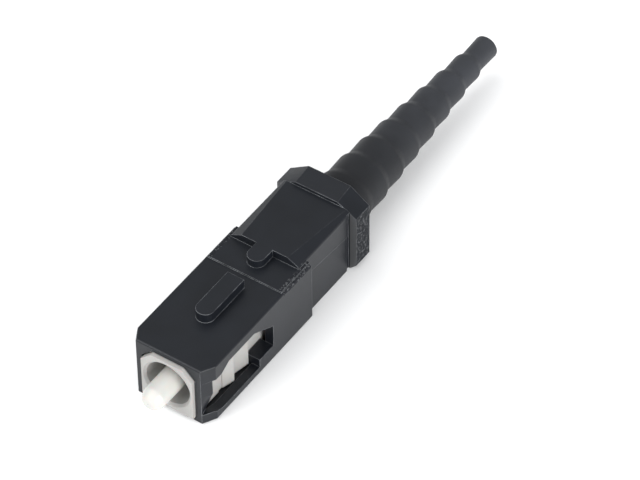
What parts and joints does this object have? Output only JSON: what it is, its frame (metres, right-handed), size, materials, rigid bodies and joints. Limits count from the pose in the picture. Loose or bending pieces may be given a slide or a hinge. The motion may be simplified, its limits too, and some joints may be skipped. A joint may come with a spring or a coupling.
{
  "type": "sc fibre connector",
  "caption": "Push-pull fibre connector plug: keyed outer housing sliding on an inner frame, sprung ceramic ferrule with splice and cam, crimp neck, stepped rubber boot.",
  "frame": {"origin": "centre of the outer housing's front face, on the ferrule's axis", "axes": "+Y runs rearwards along the ferrule's axis to the boot's tip; +Z points out of the side that carries the key; +X is to the right seen from the rear"},
  "size_m": [0.0094, 0.0588, 0.0087],
  "materials": {
    "housing_black": "satin moulded",
    "frame_white": "satin moulded",
    "ferrule_ceramic": "polished zirconia",
    "fibre_glass": "clear",
    "holder_plastic": "amber engineering plastic",
    "splice_plastic": "clear-cut plate",
    "cam_plastic": "moulded",
    "spring_steel": "drawn wire",
    "retainer_plastic": "moulded",
    "crimp_brass": "nickel plated",
    "crimp_steel": "plain tube",
    "tube_plastic": "extruded",
    "boot_rubber": "matt"
  },
  "bodies": {
    "housing": {"outer_housing": "housing_black"},
    "plug": {"plug_frame": "frame_white", "rear_retainer": "retainer_plastic", "crimp_body": "crimp_brass", "crimp_sleeve": "crimp_steel", "boot": "boot_rubber", "ferrule_spring": "spring_steel"},
    "ferrule": {"ferrule": "ferrule_ceramic", "fibre_stub": "fibre_glass", "ferrule_holder": "holder_plastic", "splice_base": "splice_plastic", "splice_clamp": "splice_plastic", "lead_in_tube": "tube_plastic"},
    "cam": {"cam_ring": "cam_plastic"}
  },
  "joints": [
    {"name": "housing_slide", "type": "slide", "parent": "housing", "child": "plug", "axis": [0, 1, 0], "range_m": [-0.0016, 0]},
    {"name": "ferrule_float", "type": "slide", "parent": "plug", "child": "ferrule", "axis": [0, 1, 0], "range_m": [0, 0.0012], "stiffness_N_per_m": 1500, "deforming": ["ferrule_spring"]},
    {"name": "cam_turn", "type": "hinge", "parent": "ferrule", "child": "cam", "pos_m": [0, 0.0163, 0], "axis": [0, 1, 0], "range_deg": [0, 90]}
  ]
}
